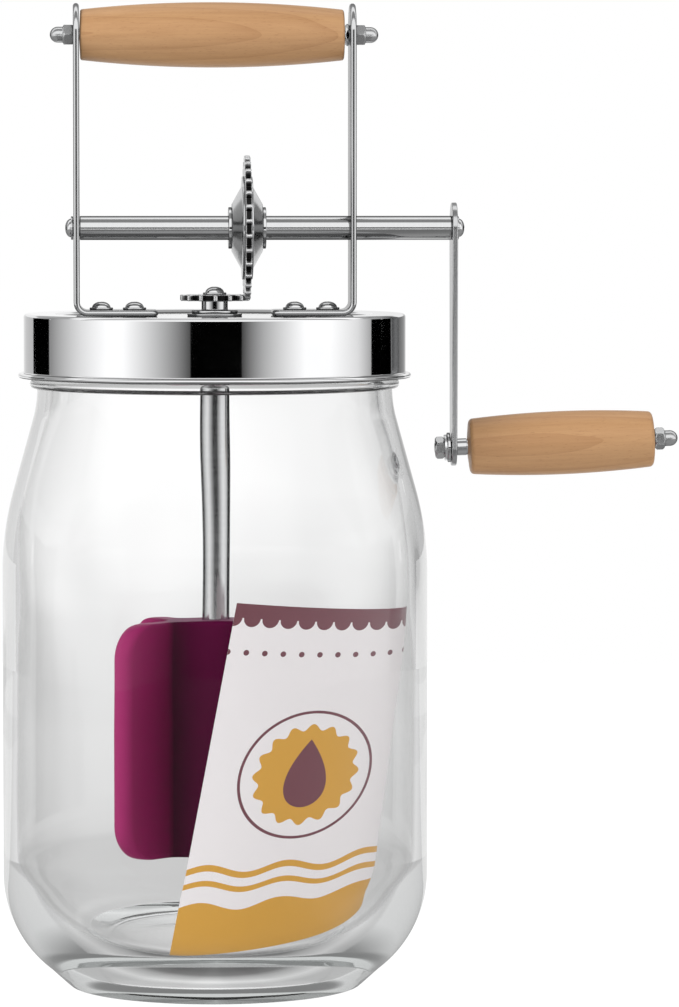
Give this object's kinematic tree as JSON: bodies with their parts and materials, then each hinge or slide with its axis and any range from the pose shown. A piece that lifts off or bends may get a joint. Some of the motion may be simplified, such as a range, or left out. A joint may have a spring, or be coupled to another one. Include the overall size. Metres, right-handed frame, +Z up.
{
  "type": "glass jar butter churn",
  "caption": "Hand-cranked butter churn: a clear glass jar with a steel screw lid that carries a carrying handle, a crank, right-angle gears and a soft finned paddle.",
  "frame": {"origin": "on the jar's axis, on the surface that the jar stands on", "axes": "+Z up along the jar's axis, +X towards the crank, -Y to the front"},
  "size_m": [0.2456, 0.1542, 0.3562],
  "materials": {
    "glass": "clear smooth glass",
    "paper": "coated printed card",
    "seal": "milky silicone",
    "chrome": "polished plated steel",
    "wood": "turned beech, thin clear varnish",
    "silicone": "satin wine-red silicone",
    "steel": "bright stainless steel"
  },
  "bodies": {
    "jar": {"glass_jar": "glass", "recipe_card": "paper"},
    "seal": {"lid_seal": "seal"},
    "lid": {"lid_cap": "chrome", "left_bracket": "steel", "right_bracket": "steel", "bracket_screws": "steel", "bracket_nuts": "steel", "lid_bush": "steel", "bush_washer": "steel", "bush_nut": "steel", "handle_rod": "steel", "left_handle_dome_nut": "steel", "right_handle_dome_nut": "steel", "handle_lock_nut": "steel"},
    "crank": {"crank_shaft": "steel", "drive_gear": "steel", "left_gear_dish": "steel", "right_gear_dish": "steel", "left_shaft_collar": "steel", "right_shaft_collar": "steel", "shaft_end_screw": "steel", "crank_arm": "steel", "crank_arm_screw": "steel", "crank_pin": "steel", "pin_washer": "steel", "pin_spring_washer": "steel", "pin_nut": "steel", "pin_dome_nut": "steel"},
    "crank_knob": {"crank_grip": "wood"},
    "dasher": {"dasher_spindle": "steel", "driven_gear": "steel", "gear_screw": "steel", "paddle": "silicone", "paddle_pin": "steel"},
    "carry_handle": {"handle_grip": "wood"}
  },
  "joints": [
    {"name": "lid_lift", "type": "slide", "parent": "jar", "child": "seal", "axis": [0, 0, 1], "range_m": [0, 0.21]},
    {"name": "lid_turn", "type": "hinge", "parent": "seal", "child": "lid", "pos_m": [0, 0, 0.2424], "axis": [0, 0, 1], "range_deg": [0, 450]},
    {"name": "crank_turn", "type": "hinge", "parent": "lid", "child": "crank", "pos_m": [0.01176, 0, 0.2749], "axis": [1, 0, 0], "continuous": true},
    {"name": "dasher_turn", "type": "hinge", "parent": "lid", "child": "dasher", "pos_m": [0, 0, 0.2497], "axis": [0, 0, 1], "continuous": true},
    {"name": "grip_turn", "type": "hinge", "parent": "crank", "child": "crank_knob", "pos_m": [0.08675, 0, 0.1953], "axis": [0.9992, 0, 0.0393], "continuous": true},
    {"name": "handle_turn", "type": "hinge", "parent": "lid", "child": "carry_handle", "pos_m": [0, 0, 0.3445], "axis": [1, 0, 0], "continuous": true}
  ],
  "couplings": [
    {"joint": "dasher_turn", "follows": "crank_turn", "ratio": 2.1429}
  ]
}
